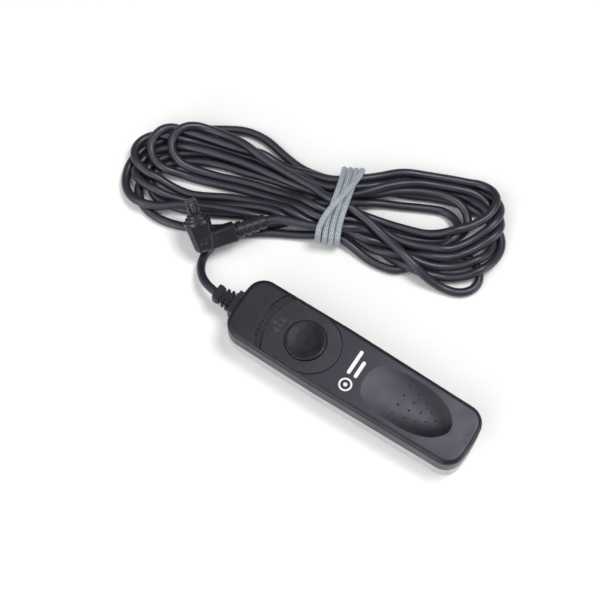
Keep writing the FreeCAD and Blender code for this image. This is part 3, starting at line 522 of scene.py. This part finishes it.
def printed_mark():
    """A plain white ring, dot and bars where the handset carries its print."""
    mesh = bmesh.new()
    outer = arc(RING_CENTRE, RING_OUTER, 0, 2 * math.pi, RING_PARTS)
    inner = arc(RING_CENTRE, RING_INNER, 0, 2 * math.pi, RING_PARTS)
    for k in range(RING_PARTS):
        flat_shape(mesh, [outer[k], outer[k + 1], inner[k + 1], inner[k]])
    flat_shape(mesh, arc(RING_CENTRE, DOT_RADIUS, 0, 2 * math.pi, ROUND_PARTS)[:-1])
    for x_low, x_high, y_low, y_high in BARS:
        radius = (y_high - y_low) / 2
        y_middle = (y_high + y_low) / 2
        left, right = (x_low + radius, y_middle), (x_high - radius, y_middle)
        left_end = arc(left, radius, math.pi / 2, math.pi, ROUND_PARTS)
        right_end = arc(right, radius, -math.pi / 2, math.pi, ROUND_PARTS)
        flat_shape(mesh, left_end + right_end)
    return mesh_piece("printed_mark", mesh, smooth=False)


mark = printed_mark()
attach(mark, "handset")

# --- materials --------------------------------------------------------------------------

# The cool cast of the plastics' sheen.
COOL = (0.82, 0.84, 1.0)
# How far a sharp edge is rounded off in shading, and how wide the painted edge highlight is.
EDGE = 0.35 * MM


class Paint:
    """A material's node tree with short calls for the nodes used here."""

    def __init__(self, name):
        self.material = bpy.data.materials.new(name)
        self.material.use_nodes = True
        self.tree = self.material.node_tree
        self.shader = self.tree.nodes["Principled BSDF"]
        self.where = self.tree.nodes.new("ShaderNodeTexCoord").outputs["Object"]

    def link(self, source, target):
        self.tree.links.new(source, target)

    def noise(self, scale, detail=2.0, rough=0.5):
        """Cloudy noise, with about this many features to a metre."""
        node = self.tree.nodes.new("ShaderNodeTexNoise")
        node.inputs["Scale"].default_value = scale
        node.inputs["Detail"].default_value = detail
        node.inputs["Roughness"].default_value = rough
        self.link(self.where, node.inputs["Vector"])
        return node.outputs["Fac"]

    def ramp(self, value, low, high, start, end):
        """A value from start to end becomes one from low to high, and stays within them."""
        node = self.tree.nodes.new("ShaderNodeMapRange")
        node.inputs["From Min"].default_value = start
        node.inputs["From Max"].default_value = end
        node.inputs["To Min"].default_value = low
        node.inputs["To Max"].default_value = high
        self.link(value, node.inputs["Value"])
        return node.outputs["Result"]

    def blend(self, value, first, second):
        """The first colour where the value is 0 and the second where it is 1."""
        node = self.tree.nodes.new("ShaderNodeMix")
        node.data_type = "RGBA"
        self.link(value, node.inputs["Factor"])
        for socket, colour in ((node.inputs[6], first), (node.inputs[7], second)):
            if isinstance(colour, tuple):
                socket.default_value = (*colour, 1)
            else:
                self.link(colour, socket)
        return node.outputs[2]

    def bump(self, value, height, under=None):
        """A normal tilted by relief of this height in metres, on top of another normal."""
        node = self.tree.nodes.new("ShaderNodeBump")
        node.inputs["Distance"].default_value = height
        node.inputs["Strength"].default_value = 1.0
        self.link(value, node.inputs["Height"])
        if under is not None:
            self.link(under, node.inputs["Normal"])
        return node.outputs["Normal"]

    def attribute(self, name):
        """A value that the mesh carries at each of its points."""
        node = self.tree.nodes.new("ShaderNodeAttribute")
        node.attribute_name = name
        return node.outputs["Fac"]

    def eased(self, radius):
        """The surface normal with sharp edges rounded off, and how near an edge a spot is."""
        eased = self.tree.nodes.new("ShaderNodeBevel")
        eased.samples = 4
        eased.inputs["Radius"].default_value = radius
        dot = self.tree.nodes.new("ShaderNodeVectorMath")
        dot.operation = "DOT_PRODUCT"
        self.link(eased.outputs["Normal"], dot.inputs[0])
        self.link(self.tree.nodes.new("ShaderNodeNewGeometry").outputs["Normal"], dot.inputs[1])
        return eased.outputs["Normal"], self.ramp(dot.outputs["Value"], 1.0, 0.0, 0.80, 0.99)

    def finish(self, colour, rough, normal=None, metallic=0.0, specular=0.5, coat=0.0,
               coat_rough=0.2, sheen=0.0, tint=(1.0, 1.0, 1.0)):
        """Set the shader and give back the material."""
        self.link(colour, self.shader.inputs["Base Color"])
        self.link(rough, self.shader.inputs["Roughness"])
        if normal is not None:
            self.link(normal, self.shader.inputs["Normal"])
        self.shader.inputs["Metallic"].default_value = metallic
        self.shader.inputs["Specular IOR Level"].default_value = specular
        self.shader.inputs["Specular Tint"].default_value = (*tint, 1)
        self.shader.inputs["Coat Weight"].default_value = coat
        self.shader.inputs["Coat Roughness"].default_value = coat_rough
        self.shader.inputs["Sheen Weight"].default_value = sheen
        return self.material


def moulded(name, dark, light, second_tone, rough, grain, height, specular=0.5):
    """Spark-textured moulded plastic: fine grain, faint mottling, specks, and a painted highlight
    along sharp edges.
    """
    paint = Paint(name)
    mottle = paint.ramp(paint.noise(160, 3), 0, 1, 0.35, 0.65)
    speck = paint.ramp(paint.noise(grain * 0.5, 2), 0, 0.25, 0.55, 0.75)
    base = paint.blend(mottle, dark, light)
    base = paint.blend(speck, base, second_tone)
    normal, edge = paint.eased(EDGE)
    # Painted highlight: every sharp edge, raised or hollow, takes the lighter speck colour.
    colour = paint.blend(edge, base, second_tone)
    finish = paint.ramp(paint.noise(90, 4), rough - 0.06, rough + 0.06, 0.3, 0.7)
    fine = paint.bump(paint.noise(grain * 0.5, 3, 0.6), height, under=normal)
    return paint.finish(colour, finish, fine, specular=specular, tint=COOL)


def cable_jacket():
    """Satin PVC: smooth, a little uneven, and lightly dusted."""
    paint = Paint("cable_pvc")
    mottle = paint.ramp(paint.noise(55, 3), 0, 1, 0.35, 0.65)
    base = paint.blend(mottle, (0.0120, 0.0120, 0.0175), (0.0190, 0.0185, 0.0255))
    dust = paint.ramp(paint.noise(2600, 1), 0, 0.5, 0.66, 0.74)
    colour = paint.blend(dust, base, (0.035, 0.035, 0.043))
    finish = paint.ramp(paint.noise(130, 3), 0.36, 0.46, 0.3, 0.7)
    normal = paint.bump(paint.noise(420, 2), 0.00004)
    normal = paint.bump(paint.noise(3500, 2), 0.000005, under=normal)
    return paint.finish(colour, finish, normal, specular=0.6, coat=0.15, coat_rough=0.34,
                        tint=COOL)


def metal(name, colour, second_tone, rough, grain):
    """Bare metal with darker patches and a faint grain."""
    paint = Paint(name)
    patches = paint.ramp(paint.noise(grain * 0.2, 3), 0, 1, 0.35, 0.65)
    finish = paint.ramp(paint.noise(grain, 3), rough - 0.08, rough + 0.1, 0.3, 0.7)
    normal = paint.bump(paint.noise(grain * 2, 2), 0.00001)
    return paint.finish(paint.blend(patches, colour, second_tone), finish, normal, metallic=1.0)


def woven_elastic():
    """Light blue-grey yarn: the relief is in the mesh, and this adds fibres, soiling and painted
    shade in the weave's grooves.
    """
    paint = Paint("elastic_yarn")
    mottle = paint.ramp(paint.noise(240, 3), 0, 1, 0.3, 0.7)
    base = paint.blend(mottle, (0.36, 0.40, 0.45), (0.54, 0.58, 0.62))
    painted_groove_shade = paint.ramp(paint.attribute("weave"), 0, 1, 0.05, 0.6)
    # Painted shade: the grooves between the diamonds of the weave are darkened.
    colour = paint.blend(painted_groove_shade, (0.07, 0.085, 0.105), base)
    finish = paint.ramp(paint.noise(900, 2), 0.62, 0.82, 0.3, 0.7)
    return paint.finish(colour, finish, paint.bump(paint.noise(4200, 3, 0.7), 0.00008), sheen=0.35)


def white_ink():
    """Matt white ink with thin, greyer patches."""
    paint = Paint("white_ink")
    thin = paint.ramp(paint.noise(1500, 3), 0, 1, 0.4, 0.7)
    colour = paint.blend(thin, (0.80, 0.80, 0.80), (0.58, 0.58, 0.60))
    finish = paint.ramp(paint.noise(900, 2), 0.45, 0.6, 0.3, 0.7)
    return paint.finish(colour, finish, paint.bump(paint.noise(5200, 2), 0.00003))


# Plastics: dark, light and speck colours, the last also painted on sharp edges as a highlight, then
# roughness, grain and the grain's height.
case_black = moulded("case_black", (0.0055, 0.0055, 0.0070), (0.0085, 0.0082, 0.0105),
                     (0.060, 0.058, 0.066), 0.38, 5200, 0.000016, specular=0.45)
plate_black = moulded("plate_black", (0.0070, 0.0068, 0.0088), (0.0105, 0.0100, 0.0128),
                      (0.150, 0.145, 0.155), 0.36, 5200, 0.000014, specular=0.45)
case_grey = moulded("case_grey", (0.44, 0.435, 0.45), (0.50, 0.495, 0.51),
                    (0.60, 0.595, 0.61), 0.46, 4800, 0.000015)
button_gloss = moulded("button_gloss", (0.0035, 0.0036, 0.0050), (0.0050, 0.0052, 0.0070),
                       (0.16, 0.16, 0.17), 0.30, 7000, 0.000006, specular=0.3)
plug_grey = moulded("plug_grey", (0.0075, 0.0085, 0.0105), (0.0110, 0.0120, 0.0145),
                    (0.10, 0.105, 0.11), 0.34, 4200, 0.000008, specular=0.6)
nose_grey = moulded("nose_grey", (0.010, 0.011, 0.010), (0.016, 0.017, 0.015),
                    (0.30, 0.31, 0.28), 0.36, 4200, 0.000008)
boot_black = moulded("boot_black", (0.0055, 0.0056, 0.0072), (0.0085, 0.0087, 0.0110),
                     (0.035, 0.035, 0.040), 0.50, 3800, 0.000012, specular=0.4)
insulator_dark = moulded("insulator_dark", (0.055, 0.045, 0.035), (0.07, 0.06, 0.05),
                         (0.12, 0.11, 0.1), 0.5, 3800, 0.00003)
wire_red = moulded("wire_red", (0.42, 0.02, 0.02), (0.52, 0.03, 0.03),
                   (0.6, 0.1, 0.1), 0.4, 3000, 0.00001)
wire_white = moulded("wire_white", (0.66, 0.66, 0.64), (0.74, 0.74, 0.72),
                     (0.8, 0.8, 0.8), 0.4, 3000, 0.00001)
wire_yellow = moulded("wire_yellow", (0.62, 0.42, 0.03), (0.7, 0.5, 0.05),
                      (0.8, 0.6, 0.2), 0.4, 3000, 0.00001)
pvc = cable_jacket()
# Metals: bright and dull colours, then roughness and grain.
steel = metal("zinc_steel", (0.55, 0.55, 0.57), (0.42, 0.42, 0.44), 0.32, 2400)
brass = metal("contact_brass", (0.74, 0.56, 0.27), (0.60, 0.43, 0.18), 0.28, 2400)

FINISHES = {
    "top_cover": case_black, "bottom_cover": case_grey, "slide_plate": plate_black,
    "slide_bridge": insulator_dark, "button_cap": button_gloss, "strain_relief": boot_black,
    "plug_housing": plug_grey, "plug_collar": plug_grey, "plug_relief": plug_grey,
    "plug_nose": nose_grey, "plug_insulator": insulator_dark, "plug_contacts": brass,
    "contact_base": insulator_dark, "contact_spacers": insulator_dark,
    "common_terminal": brass, "focus_terminal": brass, "shutter_leaf": brass,
    "common_leaf": brass, "focus_leaf": brass, "contact_screws": steel, "case_screws": steel,
    "cable_clamp": steel, "clamp_screws": steel, "jacket_end": pvc,
    "wire_common": wire_red, "wire_focus": wire_white, "wire_shutter": wire_yellow,
}


def dress(piece, material):
    """Give a piece this one material."""
    piece.data.materials.clear()
    piece.data.materials.append(material)


for node, material in FINISHES.items():
    dress(cad[node], material)
dress(cord, pvc)
dress(tie, woven_elastic())
dress(spring, steel)
dress(mark, white_ink())

# --- table and light --------------------------------------------------------------------

TABLE_SIDE = 4
LIGHT_AIM = (0.03, 0.03, 0)


def table_top():
    """A near-white table under the object."""
    paint = Paint("table_white")
    colour = paint.blend(paint.noise(30, 3), (0.86, 0.86, 0.855), (0.89, 0.89, 0.885))
    finish = paint.ramp(paint.noise(60, 2), 0.55, 0.65, 0.3, 0.7)
    bpy.ops.mesh.primitive_plane_add(size=TABLE_SIDE, location=(0, 0, 0))
    plane = bpy.context.object
    plane.name = "table"
    dress(plane, paint.finish(colour, finish))


def area_light(name, place, size, power):
    """A rectangular lamp aimed at the object, of this width and height and power in watts."""
    data = bpy.data.lights.new(name, "AREA")
    data.shape = "RECTANGLE"
    data.size, data.size_y = size
    data.energy = power
    light = placed(name, data)
    light.location = place
    light.rotation_euler = aimed(light.location, LIGHT_AIM)


def sky(strength):
    """Even white light from all round."""
    world = bpy.data.worlds.new("studio")
    world.use_nodes = True
    background = world.node_tree.nodes["Background"]
    background.inputs["Color"].default_value = (1.0, 1.0, 1.0, 1)
    background.inputs["Strength"].default_value = strength
    bpy.context.scene.world = world


table_top()
sky(0.20)
area_light("key", (0.30, -0.19, 1.0), (0.42, 0.34), 6.6)
area_light("fill", (-0.60, 0.35, 0.80), (1.3, 1.3), 8.2)
area_light("rim_end", (0.20, -0.80, 0.24), (0.5, 0.2), 2.2)
area_light("rim_side", (-0.85, 0.10, 0.30), (0.5, 0.2), 2.2)
bpy.context.scene.view_settings.view_transform = "Standard"

bpy.context.view_layer.update()
